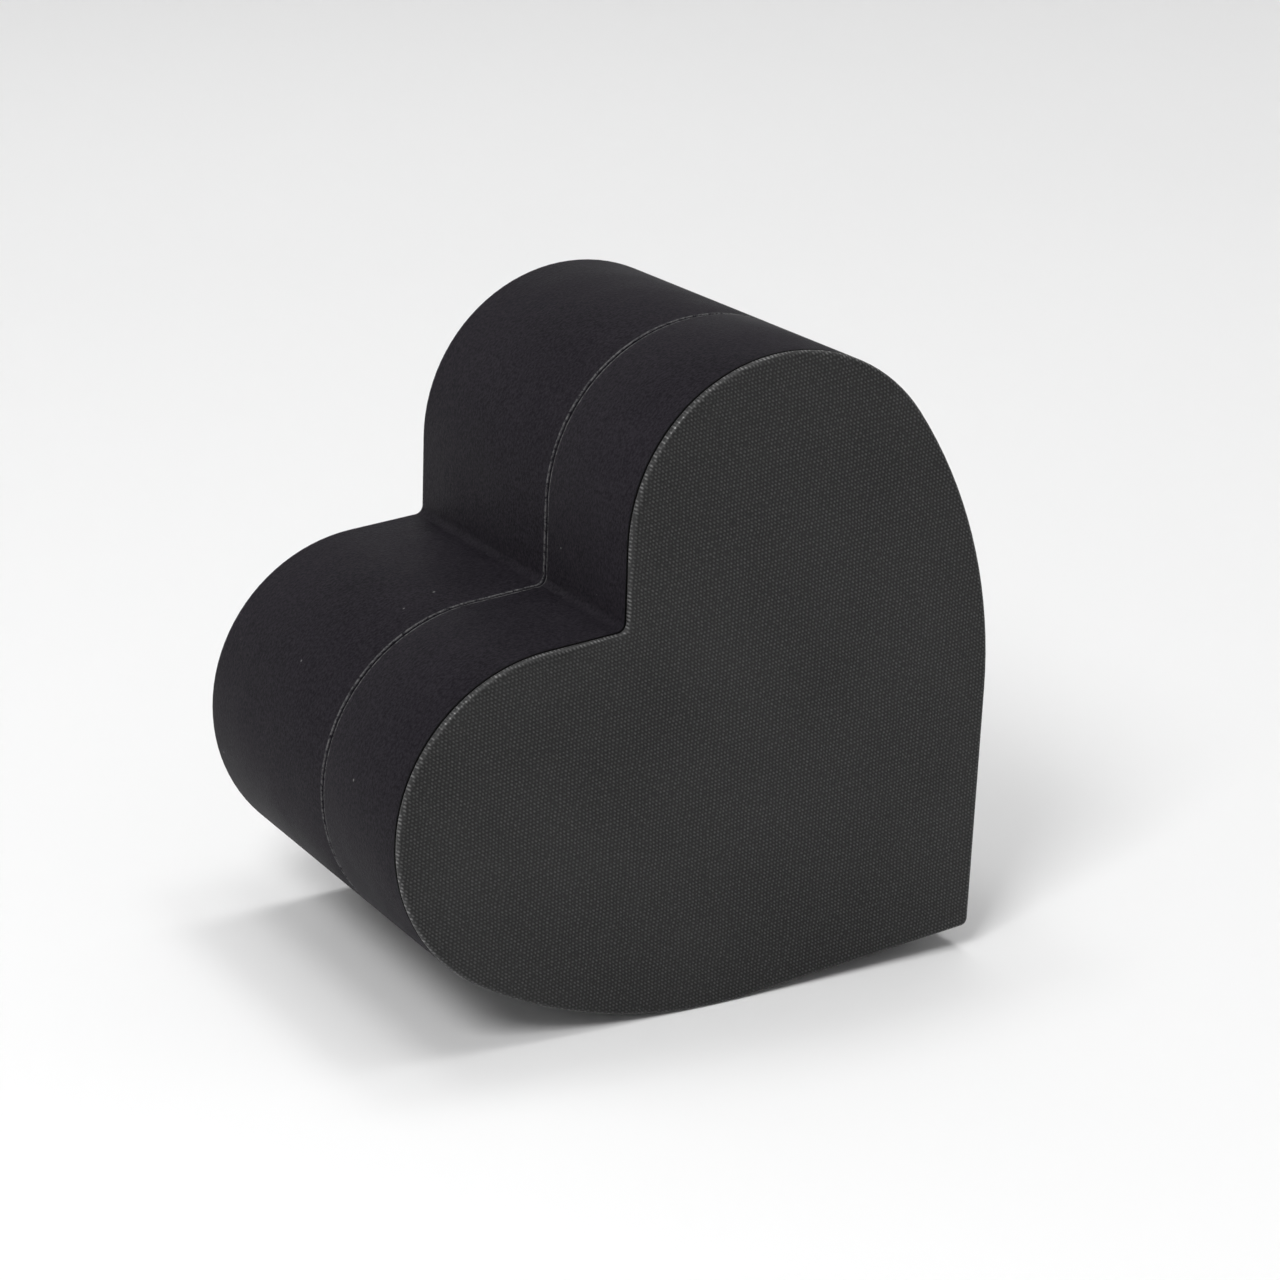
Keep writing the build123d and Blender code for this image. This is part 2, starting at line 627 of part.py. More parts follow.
# ---- the movement, what the great wheel drives ----

def drive_gear():
    """The gear that meshes with the crown teeth, with the plug that closes the drum's end."""
    wheel = gear(DRIVE_TEETH, CROWN_MODULE, GEAR_W, CYL_ARBOR_R)
    wheel += rod(DRIVE_R - DEDENDUM, GEAR_W, DRUM_X - DRIVE_X)
    wheel += rod(DRUM_R - DRUM_WALL, DRUM_X - DRIVE_X, DRUM_X - DRIVE_X + 1.5)
    wheel -= rod(CYL_ARBOR_R, -1, DRUM_X)
    return along_x(wheel, DRIVE_X, 0, CYL_Z)


def end_gear():
    """The gear that drives the governor, with the plug in the drum's other end."""
    back = END_X - DRUM_X - DRUM_L
    wheel = gear(END_TEETH, FINE_MODULE, GEAR_W, CYL_ARBOR_R)
    wheel += rod(DRUM_R - DRUM_WALL - 0.5, -back, 0)
    wheel += rod(DRUM_R - DRUM_WALL, -back - 1.5, -back)
    wheel -= rod(CYL_ARBOR_R, -10, 10)
    return along_x(wheel, END_X, 0, CYL_Z)


def cylinder_arbor():
    """The cylinder's arbor with a pivot at each end."""
    left = HOUSING_R + 0.3
    right = PLATE_X - 0.3
    arbor = rod_x(CYL_ARBOR_R, left, right, 0, CYL_Z)
    arbor += rod_x(PIVOT_R, HOUSING_R - HOUSING_WALL, left, 0, CYL_Z)
    return arbor + rod_x(PIVOT_R, right, PLATE_X + PLATE_T + 0.3, 0, CYL_Z)


def cylinder_pins():
    """The tune: short pins pressed into the drum, a row round it for each note."""
    foot = DRUM_R - 0.3
    pin = Pos(0, 0, foot) * extrude(Circle(PIN_R), DRUM_R + PIN_H - foot)
    pins = []
    for note in range(NOTE_COUNT):
        for beat in range(PINS_PER_NOTE):
            angle = 360 * beat / PINS_PER_NOTE + 137.5 * note + 11 * (note * beat % 5)
            pins.append(Pos(note_x(note), 0, CYL_Z) * Rot(angle, 0, 0) * pin)
    return pins


def cylinder_parts():
    """Everything that turns with the pinned cylinder."""
    drum = rod_x(DRUM_R, DRUM_X, DRUM_X + DRUM_L, 0, CYL_Z)
    drum -= rod_x(DRUM_R - DRUM_WALL, DRUM_X - 1, DRUM_X + DRUM_L + 1, 0, CYL_Z)
    return {
        "cylinder_drum": drum,
        "cylinder_pins": cylinder_pins(),
        "cylinder_drive_gear": drive_gear(),
        "cylinder_end_gear": end_gear(),
        "cylinder_arbor": cylinder_arbor(),
    }


def governor_parts():
    """The pinion, worm wheel and arbor that turn together."""
    pinion = gear(PINION_TEETH, FINE_MODULE, GEAR_W, GOV_ARBOR_R, 360 / PINION_TEETH / 2)
    wheel_w = 1.2
    wheel = gear(WORM_WHEEL_TEETH, FINE_MODULE, wheel_w, GOV_ARBOR_R, 90)
    arbor = rod_x(GOV_ARBOR_R, END_X - 0.2, OUTER_PLATE_X - 0.3, GOV_Y, CYL_Z)
    arbor += rod_x(GOV_PIVOT_R, OUTER_PLATE_X - 0.3, OUTER_PLATE_X + PLATE_T + 0.2, GOV_Y, CYL_Z)
    return {
        "governor_pinion": along_x(pinion, END_X, GOV_Y, CYL_Z),
        "worm_wheel": along_x(wheel, WORM_X - wheel_w / 2, GOV_Y, CYL_Z),
        "governor_arbor": arbor,
    }


def worm_spindle():
    """The worm on its upright spindle, with the disc that the stop presses on."""
    pitch = math.pi * FINE_MODULE
    root = WORM_R - DEDENDUM + 0.05
    path = Helix(pitch, WORM_LENGTH, root)
    half = WORM_TOOTH_W / 2
    section = [(-0.15, -half - 0.12), (WORM_R + ADDENDUM - root, -half + 0.14)]
    section += [(x, -y) for x, y in reversed(section)]
    frame = Plane(origin=path @ 0, x_dir=(1, 0, 0), z_dir=path % 0)
    profile = frame * Face(Wire.make_polygon([Vector(x, y) for x, y in section]))
    thread = sweep(profile, path, is_frenet=True)
    # A thread that starts on +X passes +Y a quarter pitch up; half a pitch puts it between teeth.
    start = CYL_Z + pitch / 2 - pitch / 4 - 2 * pitch
    spindle = Pos(0, 0, start) * thread + rod(root, BED_T + FRAME_T + 0.3, ARM_Z - 0.3)
    spindle += rod(GOV_PIVOT_R, BED_T + 0.2, BED_T + FRAME_T + 1)
    spindle += rod(GOV_PIVOT_R, ARM_Z - 1, ARM_Z + 1.0)
    spindle += rod(BRAKE_DISC_R, DISC_Z, DISC_Z + 0.9)
    return Pos(WORM_X, WORM_Y, 0) * spindle


def fly_wings():
    """The air brake: two flat wings on a hub near the top of the spindle."""
    hub_r = WORM_R - DEDENDUM + 0.05
    wings = block((-FLY_R, FLY_R), (-0.3, 0.3), (FLY_Z, FLY_Z + FLY_H))
    wings = fillet(wings.edges().filter_by(Axis.Y), 0.9)
    wings += rod(hub_r + 0.6, FLY_Z, FLY_Z + FLY_H)
    return Pos(WORM_X, WORM_Y, 0) * Rot(0, 0, 35) * (wings - rod(hub_r, FLY_Z - 1, FLY_Z + FLY_H + 1))


def stop_knob():
    """The ribbed knob under the box, with the stem that runs in the slot."""
    length, width, height = KNOB
    top = -BOTTOM_T - PAPER_T - SLIDE_GAP
    centre = STEM_X + length / 2 - STEM_W / 2
    knob = block((centre - length / 2, centre + length / 2), (-width / 2, width / 2), (top - height, top))
    knob = fillet(knob.edges().filter_by(Axis.Z), 1.0)
    for rib in range(5):
        x = centre + (rib - 2) * 1.3
        knob -= block((x - 0.25, x + 0.25), (-width, width), (top - height - 1, top - height + 0.5))
    stem = block((STEM_X - STEM_W / 2, STEM_X + STEM_W / 2), (-STEM_W / 2, STEM_W / 2), (top, SLIDE_GAP))
    return Pos(0, WORM_Y, 0) * (knob + stem)


def brake_arm():
    """Plate on the stem, post and finger whose pad comes up to the brake disc."""
    disc_z = DISC_Z + 0.45
    back = STEM_X - STEM_W / 2
    pad = WORM_X + BRAKE_DISC_R + BRAKE_GAP + STOP_TRAVEL
    arm = block((back, STEM_X + 4.2), (-2.2, 2.2), (SLIDE_GAP, SLIDE_GAP + 0.8))
    arm += block((back, STEM_X + STEM_W / 2), (-0.8, 0.8), (SLIDE_GAP, disc_z + 0.6))
    arm += block((pad, STEM_X + STEM_W / 2), (-0.8, 0.8), (disc_z - 0.6, disc_z + 0.6))
    return Pos(0, WORM_Y, 0) * arm


def movement_parts():
    """Every piece of the movement and its stop, set in the box."""
    parts = {
        "bedplate": bedplate(),
        "spring_housing": spring_housing(),
        "mainspring": mainspring(),
        "comb": comb(),
        "cylinder_end_plate": end_plate(),
        "governor_frame": governor_frame(),
        "mounting_screws": mounting_screws(),
        "key_bush": key_bush(),
        "winding_arbor": winding_arbor(),
        "great_wheel": great_wheel(),
        "arbor_ratchet": arbor_ratchet(),
        "ratchet_click": ratchet_click(),
        "key_stem": key_stem(),
        "key_wings": key_wings(),
        "worm_spindle": worm_spindle(),
        "fly_wings": fly_wings(),
        "stop_knob": stop_knob(),
        "brake_arm": brake_arm(),
    }
    parts |= movement_screws() | cylinder_parts() | governor_parts()
    seat = seat_of_movement()
    placed = {}
    for name, shape in parts.items():
        pieces = shape if isinstance(shape, list) else shape.solids()
        placed[name] = Compound([seat * piece for piece in pieces])
    return placed


def standing():
    """How the drawn box is stood on its flank: face to -Y, centred, lowest edge at Z = 0."""
    turn = Rot(90, 0, 0) * Rot(0, 0, DISPLAY_TURN)
    box = (turn * heart_plate(0, 0, PANEL_Z + PANEL_T)).bounding_box()
    return Pos(-box.center().X, -box.center().Y, -box.min.Z) * turn


def main():
    """Write one STEP file for each piece."""
    os.makedirs("parts", exist_ok=True)
    place = standing()
    for name, shape in (lid_parts() | base_parts() | movement_parts()).items():
        export_step(place * Compound(shape.solids()), f"parts/{name}.step")


main()
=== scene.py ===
"""Finishes, lights and camera for the heart-shaped wind up music box."""
import json
import math

import bpy
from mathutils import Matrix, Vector


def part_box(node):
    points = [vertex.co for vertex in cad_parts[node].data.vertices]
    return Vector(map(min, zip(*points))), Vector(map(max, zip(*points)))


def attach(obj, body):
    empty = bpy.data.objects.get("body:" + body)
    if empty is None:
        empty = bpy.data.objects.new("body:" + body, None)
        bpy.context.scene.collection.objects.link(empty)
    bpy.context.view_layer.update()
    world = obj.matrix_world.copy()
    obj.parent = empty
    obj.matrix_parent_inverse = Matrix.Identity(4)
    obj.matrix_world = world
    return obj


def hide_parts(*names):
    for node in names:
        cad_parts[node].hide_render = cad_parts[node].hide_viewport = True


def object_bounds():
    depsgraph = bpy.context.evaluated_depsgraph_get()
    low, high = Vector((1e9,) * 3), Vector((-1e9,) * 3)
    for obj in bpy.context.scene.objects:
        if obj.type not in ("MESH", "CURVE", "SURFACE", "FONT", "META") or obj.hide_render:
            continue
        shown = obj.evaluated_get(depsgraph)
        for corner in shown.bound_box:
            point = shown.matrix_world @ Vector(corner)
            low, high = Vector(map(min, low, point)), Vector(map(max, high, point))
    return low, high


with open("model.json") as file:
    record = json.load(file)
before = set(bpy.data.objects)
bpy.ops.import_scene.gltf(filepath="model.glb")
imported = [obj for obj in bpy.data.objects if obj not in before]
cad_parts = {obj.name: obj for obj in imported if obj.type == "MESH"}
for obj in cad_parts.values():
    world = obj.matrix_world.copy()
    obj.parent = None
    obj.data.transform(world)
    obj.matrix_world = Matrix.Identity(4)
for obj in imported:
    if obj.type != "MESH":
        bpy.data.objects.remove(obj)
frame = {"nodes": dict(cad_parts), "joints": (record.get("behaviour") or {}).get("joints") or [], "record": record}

MM = 0.001
CAD_BOUNDS = [list(corner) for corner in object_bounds()]

# The heart's own axes, read from the joints: the cylinder's arbor lies across it.
JOINTS = {joint["name"]: joint for joint in frame["joints"]}
ACROSS = -Vector(JOINTS["cylinder_turn"]["axis"])
TURN = math.atan2(ACROSS.z, ACROSS.x)

# Levels along Y, from the panel's face to the rim of the underside.
FACE, UNDERSIDE = CAD_BOUNDS[0][1], CAD_BOUNDS[1][1]
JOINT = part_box("lid_wall_paper")[0].y
LID_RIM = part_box("lid_wall_paper")[1].y
BASE_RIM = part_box("base_wall_paper")[0].y
FOLD_INSET = 0.3 * MM
FOLDS = [BASE_RIM + FOLD_INSET, LID_RIM - FOLD_INSET, UNDERSIDE - FOLD_INSET]

# Thread spacing of the panel's cover.
WARP_PITCH = 0.639 * MM
WEFT_PITCH = 0.513 * MM

# The band on the panel's edge, polished by handling and lightened as a painted highlight: how far behind the face
# it lies, and its half width.
POLISH_AND_SHEEN_DEPTH = 0.9 * MM
POLISH_AND_SHEEN_REACH = 0.85 * MM

# Darkest tone, painted as shade in the weave's hollows and in the joint's groove round the panel.
PAINTED_SHADE_TONE = (0.0008, 0.0008, 0.0008, 1.0)

# A Mix node's colour sockets.
MIX_A, MIX_B, MIX_RESULT = 6, 7, 2


# ---- node helpers ----

def new_group(name, inputs, outputs):
    """An empty node group with float or vector sockets: (name, kind, default)."""
    group = bpy.data.node_groups.new(name, "ShaderNodeTree")
    for label, kind, default in inputs:
        socket = group.interface.new_socket(label, in_out="INPUT", socket_type="NodeSocket" + kind)
        if default is not None:
            socket.default_value = default
    for label, kind in outputs:
        group.interface.new_socket(label, in_out="OUTPUT", socket_type="NodeSocket" + kind)
    return group, group.nodes.new("NodeGroupInput"), group.nodes.new("NodeGroupOutput")


def place_group(tree, group, **values):
    """One of the shared effects, with its own values."""
    node = tree.nodes.new("ShaderNodeGroup")
    node.node_tree = group
    for label, value in values.items():
        wire(tree, value, node.inputs[label])
    return node


def wire(tree, source, target):
    """Joins two sockets, or sets the target when the source is a plain value."""
    if isinstance(source, bpy.types.NodeSocket):
        tree.links.new(source, target)
    else:
        target.default_value = source


def calc(tree, operation, a, b=None, c=None, clamp=False):
    """A Math node; its result socket."""
    node = tree.nodes.new("ShaderNodeMath")
    node.operation = operation
    node.use_clamp = clamp
    for socket, value in zip(node.inputs, (a, b, c)):
        if value is not None:
            wire(tree, value, socket)
    return node.outputs[0]


def spread(tree, value, low, high, to_low=0.0, to_high=1.0):
    """A clamped Map Range."""
    node = tree.nodes.new("ShaderNodeMapRange")
    wire(tree, value, node.inputs["Value"])
    for label, number in zip(("From Min", "From Max", "To Min", "To Max"), (low, high, to_low, to_high)):
        wire(tree, number, node.inputs[label])
    return node.outputs[0]


def noise(tree, vector, scale, detail=3.0, rough=0.5, distortion=0.0):
    """A Noise texture; its grey value."""
    node = tree.nodes.new("ShaderNodeTexNoise")
    for label, value in (("Vector", vector), ("Scale", scale), ("Detail", detail)):
        wire(tree, value, node.inputs[label])
    node.inputs["Roughness"].default_value = rough
    node.inputs["Distortion"].default_value = distortion
    return node.outputs[0]


def axes_of(tree, vector):
    """A vector's separate axes."""
    node = tree.nodes.new("ShaderNodeSeparateXYZ")
    wire(tree, vector, node.inputs[0])
    return node.outputs


def heart_axes(tree, stretch=None):
    """Object coordinates along the heart's own axes, stretched if asked: X across it, Z towards the lobes."""
    coords = tree.nodes.new("ShaderNodeTexCoord")
    node = tree.nodes.new("ShaderNodeMapping")
    wire(tree, coords.outputs["Object"], node.inputs["Vector"])
    node.inputs["Rotation"].default_value = (0, TURN, 0)
    if stretch is None:
        return node.outputs[0]
    scaled = tree.nodes.new("ShaderNodeVectorMath")
    scaled.operation = "MULTIPLY"
    wire(tree, node.outputs[0], scaled.inputs[0])
    scaled.inputs[1].default_value = stretch
    return scaled.outputs[0]


def near_level(tree, place, levels, reach):
    """1 on the given levels of Y, falling to 0 at the reach."""
    depth = axes_of(tree, place)["Y"]
    mask = None
    for level in levels:
        away = calc(tree, "ABSOLUTE", calc(tree, "SUBTRACT", depth, level))
        one = spread(tree, away, 0.0, reach, 1.0, 0.0)
        mask = one if mask is None else calc(tree, "MAXIMUM", mask, one)
    return mask


def blend_colours(tree, factor, one, two):
    """A colour mix; its result socket."""
    node = tree.nodes.new("ShaderNodeMix")
    node.data_type = "RGBA"
    wire(tree, factor, node.inputs["Factor"])
    wire(tree, one, node.inputs[MIX_A])
    wire(tree, two, node.inputs[MIX_B])
    return node.outputs[MIX_RESULT]


def bump(tree, height, distance, under=None):
    """A Bump node over another one's normal, if given; its own normal."""
    node = tree.nodes.new("ShaderNodeBump")
    wire(tree, height, node.inputs["Height"])
    node.inputs["Strength"].default_value = 1.0
    node.inputs["Distance"].default_value = distance
    if under is not None:
        wire(tree, under, node.inputs["Normal"])
    return node.outputs[0]


def grey(value, warm=0.0):
    """A near-neutral colour."""
    return (value * (1 + warm), value, value * (1 - warm), 1.0)


# ---- shared effects ----

def make_weave():
    """Canvas weave: raised spots in a chequer, with the warp's ribs showing between them."""
    inputs = [
        ("Across", "Float", 0.0),
        ("Along", "Float", 0.0),
        ("Warp", "Float", WARP_PITCH),
        ("Weft", "Float", WEFT_PITCH),
        ("Wander", "Float", 0.0),
    ]
    group, start, end = new_group("canvas_weave", inputs, [("Height", "Float")])
    across = calc(group, "ADD", start.outputs["Across"], start.outputs["Wander"])
    along = calc(group, "SUBTRACT", start.outputs["Along"], start.outputs["Wander"])
    across_angle = calc(group, "MULTIPLY", across, calc(group, "DIVIDE", math.pi, start.outputs["Warp"]))
    along_angle = calc(group, "MULTIPLY", along, calc(group, "DIVIDE", math.pi, start.outputs["Weft"]))
    chequer = calc(group, "MULTIPLY", calc(group, "COSINE", across_angle), calc(group, "COSINE", along_angle))
    rib = calc(group, "COSINE", calc(group, "MULTIPLY", across_angle, 2.0))
    total = calc(group, "MULTIPLY_ADD", chequer, 0.30, 0.5)
    wire(group, calc(group, "MULTIPLY_ADD", rib, 0.20, total), end.inputs["Height"])
    return group


def make_grain():
    """Fine paper fibre with a slower cloud through it."""
    inputs = [("Vector", "Vector", None), ("Fibre", "Float", 2600.0), ("Cloud", "Float", 45.0)]
    group, start, end = new_group("paper_grain", inputs, [("Height", "Float"), ("Cloud", "Float")])
    place = start.outputs["Vector"]
    wire(group, noise(group, place, start.outputs["Fibre"], 4.0, 0.62), end.inputs["Height"])
    wire(group, noise(group, place, start.outputs["Cloud"], 3.0), end.inputs["Cloud"])
    return group


def make_specks():
    """Pale specks of lint, one in some of the cells."""
    inputs = [("Vector", "Vector", None), ("Amount", "Float", 0.06)]
    group, start, end = new_group("lint_specks", inputs, [("Mask", "Float")])
    cells = group.nodes.new("ShaderNodeTexVoronoi")
    cells.inputs["Scale"].default_value = 95.0
    wire(group, start.outputs["Vector"], cells.inputs["Vector"])
    pick = group.nodes.new("ShaderNodeSeparateColor")
    wire(group, cells.outputs["Color"], pick.inputs[0])
    chosen = calc(group, "LESS_THAN", pick.outputs[0], start.outputs["Amount"])
    spot = spread(group, cells.outputs["Distance"], 0.02, 0.035, 1.0, 0.0)
    wire(group, calc(group, "MULTIPLY", spot, chosen), end.inputs["Mask"])
    return group


def make_marks():
    """Fine marks left by a tool, drawn out along one axis of the stretched coordinates."""
    inputs = [("Vector", "Vector", None)]
    group, start, end = new_group("tool_marks", inputs, [("Height", "Float"), ("Tone", "Float")])
    wire(group, noise(group, start.outputs["Vector"], 1.0, 5.0, 0.7), end.inputs["Height"])
    wire(group, noise(group, start.outputs["Vector"], 0.23, 2.0), end.inputs["Tone"])
    return group


WEAVE, GRAIN, SPECKS, MARKS = make_weave(), make_grain(), make_specks(), make_marks()


# ---- finishes ----

def new_material(name, roughness=0.5, metallic=0.0, specular=0.5):
    """A material with its Principled shader's plain values set."""
    material = bpy.data.materials.new(name)
    material.use_nodes = True
    shader = material.node_tree.nodes["Principled BSDF"]
    shader.inputs["Roughness"].default_value = roughness
    shader.inputs["Metallic"].default_value = metallic
    shader.inputs["Specular IOR Level"].default_value = specular
    return material, material.node_tree, shader


def paint_joint_shade(tree, colour, place, reach, only_on=None):
    """The colour, darkened by painted shade in the groove of the joint round the panel."""
    joint_shade = near_level(tree, place, [JOINT], reach)
    if only_on is not None:
        joint_shade = calc(tree, "MULTIPLY", joint_shade, only_on)
    return blend_colours(tree, calc(tree, "MULTIPLY", joint_shade, 2.0, clamp=True), colour, PAINTED_SHADE_TONE)


def linen_cover():
    """Black canvas-grained covering paper, satin where the weave stands up."""
    material, tree, shader = new_material("linen_cover", specular=0.30)
    place = heart_axes(tree)
    axes = axes_of(tree, place)
    wander = calc(tree, "MULTIPLY_ADD", noise(tree, place, 160.0, 2.0), 0.8 * MM, -0.4 * MM)
    weave = place_group(tree, WEAVE, Across=axes["X"], Along=axes["Z"], Wander=wander).outputs["Height"]
    grain = place_group(tree, GRAIN, Vector=place, Fibre=5200.0, Cloud=30.0)

    # Patches of thread lie flatter than the rest.
    patchy = spread(tree, noise(tree, place, 900.0, 3.0, 0.6), 0.38, 0.60, 0.2, 1.0)
    raised = calc(tree, "MULTIPLY", spread(tree, weave, 0.4, 1.0), patchy)

    # Handling has polished the threads on the panel's edge, given as a coat; the same band is lightened in colour
    # as a painted highlight.
    rim = spread(tree, near_level(tree, place, [FACE + POLISH_AND_SHEEN_DEPTH], POLISH_AND_SHEEN_REACH), 0.0, 0.5)
    polish_and_sheen = calc(tree, "MULTIPLY", rim, spread(tree, raised, 0.1, 0.6, 0.15, 1.0))

    # Lighter where the weave stands up and dark in its hollows: painted light and shade of the weave's relief,
    # over a random cloud of tone.
    tone = calc(tree, "MULTIPLY_ADD", grain.outputs["Cloud"], 0.2, calc(tree, "MULTIPLY", raised, 0.8))
    colour = blend_colours(tree, tone, PAINTED_SHADE_TONE, grey(0.080))
    # Painted highlight: the band on the panel's edge lightened in colour.
    colour = blend_colours(tree, calc(tree, "MULTIPLY", polish_and_sheen, 0.4), colour, grey(0.21))
    # Painted shade in the groove of the joint round the panel.
    wire(tree, paint_joint_shade(tree, colour, place, 0.55 * MM), shader.inputs["Base Color"])
    wire(tree, calc(tree, "MULTIPLY_ADD", raised, -0.18, 0.52), shader.inputs["Roughness"])
    wire(tree, polish_and_sheen, shader.inputs["Coat Weight"])
    shader.inputs["Coat Roughness"].default_value = 0.26
    height = calc(tree, "MULTIPLY_ADD", grain.outputs["Height"], 0.3, raised)
    wire(tree, bump(tree, height, 0.26 * MM), shader.inputs["Normal"])
    return material


def wall_paper():
    """Smooth matt black covering paper, rubbed a little at the folds of the folded pieces and lightened there as a
    painted highlight, with painted shade at the panel's joint.
    """
    material, tree, shader = new_material("wall_paper", specular=0.045)
    place = heart_axes(tree)
    grain = place_group(tree, GRAIN, Vector=place, Fibre=1500.0, Cloud=42.0)
    cloud = spread(tree, grain.outputs["Cloud"], 0.3, 0.7)
    fibre = spread(tree, grain.outputs["Height"], 0.36, 0.64)
    tone = calc(tree, "MULTIPLY_ADD", fibre, 0.75, calc(tree, "MULTIPLY", cloud, 0.25))
    colour = blend_colours(tree, tone, (0.0054, 0.0046, 0.0068, 1), (0.0220, 0.0195, 0.0243, 1))

    folded = tree.nodes.new("ShaderNodeAttribute")
    folded.attribute_name = "folded"
    # The paper is rubbed at the folds, and lightened there also as a painted highlight along each fold's edge.
    rub_and_highlight = calc(tree, "MULTIPLY", near_level(tree, place, FOLDS, 0.28 * MM), folded.outputs["Fac"])
    rub_and_highlight = calc(tree, "MULTIPLY", rub_and_highlight, fibre)
    colour = blend_colours(tree, calc(tree, "MULTIPLY", rub_and_highlight, 0.7), colour, grey(0.20))

    specks = place_group(tree, SPECKS, Vector=place, Amount=0.8).outputs["Mask"]
    colour = blend_colours(tree, calc(tree, "MULTIPLY", specks, 0.45), colour, grey(0.30))
    # Painted shade in the groove of the joint round the panel, on the folded pieces.
    colour = paint_joint_shade(tree, colour, place, 0.7 * MM, folded.outputs["Fac"])
    wire(tree, colour, shader.inputs["Base Color"])
    wire(tree, spread(tree, grain.outputs["Cloud"], 0.3, 0.7, 0.52, 0.64), shader.inputs["Roughness"])

    # The paper's skin, over the slack where it isn't glued quite flat.
    skin = bump(tree, grain.outputs["Height"], 0.09 * MM)
    wire(tree, bump(tree, noise(tree, place, 36.0, 2.0), 0.35 * MM, skin), shader.inputs["Normal"])
    return material


def grey_board():
    """Uncoated grey board with flecks of recycled fibre."""
    material, tree, shader = new_material("grey_board", roughness=0.9, specular=0.2)
    place = heart_axes(tree)
    grain = place_group(tree, GRAIN, Vector=place, Fibre=1500.0, Cloud=120.0)
    fleck = spread(tree, noise(tree, place, 3400.0, 1.0), 0.68, 0.74)
    colour = blend_colours(tree, grain.outputs["Cloud"], grey(0.22, 0.05), grey(0.34, 0.06))
    wire(tree, blend_colours(tree, fleck, colour, grey(0.10)), shader.inputs["Base Color"])
    wire(tree, bump(tree, grain.outputs["Height"], 0.06 * MM), shader.inputs["Normal"])
    return material


def lining_paper():
    """Matt black lining paper."""
    material, tree, shader = new_material("lining_paper", specular=0.2)
    place = heart_axes(tree)
    grain = place_group(tree, GRAIN, Vector=place, Fibre=3000.0, Cloud=60.0)
    colour = blend_colours(tree, grain.outputs["Cloud"], grey(0.012), grey(0.022))
    wire(tree, colour, shader.inputs["Base Color"])
    wire(tree, spread(tree, grain.outputs["Cloud"], 0.3, 0.7, 0.7, 0.8), shader.inputs["Roughness"])
    wire(tree, bump(tree, grain.outputs["Height"], 0.03 * MM), shader.inputs["Normal"])
    return material


def velvet():
    """Short black pile, brushed a little this way and that."""
    material, tree, shader = new_material("velvet", roughness=0.95, specular=0.1)
    shader.inputs["Sheen Weight"].default_value = 0.35
    shader.inputs["Sheen Roughness"].default_value = 0.4
    place = heart_axes(tree)
    pile = noise(tree, place, 3800.0, 2.0, 0.7)
    nap = spread(tree, noise(tree, place, 38.0, 3.0, 0.5, 1.2), 0.35, 0.65)
    tone = calc(tree, "MULTIPLY_ADD", pile, 0.4, calc(tree, "MULTIPLY", nap, 0.6))
    wire(tree, blend_colours(tree, tone, grey(0.006), grey(0.026)), shader.inputs["Base Color"])
    height = calc(tree, "MULTIPLY_ADD", nap, 0.35, pile)
    wire(tree, bump(tree, height, 0.18 * MM), shader.inputs["Normal"])
    return material


def metal(name, colour, roughness, stretch, depth, tarnish=0.25):
    """A metal with tool marks drawn out along one axis, and a cloudy tarnish."""
    material, tree, shader = new_material(name, metallic=1.0)
    marks = place_group(tree, MARKS, Vector=heart_axes(tree, stretch))
    cloud = spread(tree, noise(tree, heart_axes(tree), 260.0, 4.0), 0.35, 0.75)
    dark = tuple(part * (1 - tarnish) for part in colour) + (1.0,)
    factor = calc(tree, "MULTIPLY_ADD", marks.outputs["Tone"], 0.4, calc(tree, "MULTIPLY", cloud, 0.6))
    wire(tree, blend_colours(tree, factor, dark, colour + (1.0,)), shader.inputs["Base Color"])
    wire(tree, spread(tree, cloud, 0.0, 1.0, roughness + 0.12, roughness), shader.inputs["Roughness"])
    wire(tree, bump(tree, marks.outputs["Height"], depth * MM), shader.inputs["Normal"])
    return material


def plastic(name, low, high, roughness):
    """Moulded plastic with a spark-textured skin."""
    material, tree, shader = new_material(name, specular=0.45)
    place = heart_axes(tree)
    skin = noise(tree, place, 5200.0, 2.0)
    cloud = noise(tree, place, 300.0, 2.0)
    wire(tree, blend_colours(tree, cloud, low, high), shader.inputs["Base Color"])
    wire(tree, spread(tree, skin, 0.3, 0.7, roughness - 0.06, roughness + 0.08), shader.inputs["Roughness"])
    wire(tree, bump(tree, skin, 0.012 * MM), shader.inputs["Normal"])
    return material


def make_finishes():
    """One material for each of the record's slots."""
    lathe, rolled, cast = (9000, 900, 9000), (900, 9000, 9000), (2600, 2600, 2600)
    return {
        "linen_cover": linen_cover(),
        "wall_paper": wall_paper(),
        "grey_board": grey_board(),
        "lining_paper": lining_paper(),
        "velvet": velvet(),
        "cast_zinc": metal("cast_zinc", (0.50, 0.50, 0.48), 0.42, cast, 0.05, 0.35),
        "steel": metal("steel", (0.62, 0.61, 0.60), 0.24, rolled, 0.006),
        "screw_steel": metal("screw_steel", (0.55, 0.55, 0.56), 0.28, lathe, 0.008),
        "spring_steel": metal("spring_steel", (0.16, 0.20, 0.30), 0.22, rolled, 0.006),
        "brass": metal("brass", (0.80, 0.58, 0.26), 0.22, lathe, 0.008),
        "nylon": plastic("nylon", (0.74, 0.72, 0.66, 1), (0.84, 0.82, 0.76, 1), 0.42),
        "black_plastic": plastic("black_plastic", grey(0.012), grey(0.020), 0.45),
    }


def dress_nodes(finishes):
    """Puts each slot's finish on its CAD nodes."""
    for part in frame["record"]["subparts"]:
        node = frame["nodes"][part["node"]]
        node.data.materials.clear()
        node.data.materials.append(finishes[part["material_slot"]])


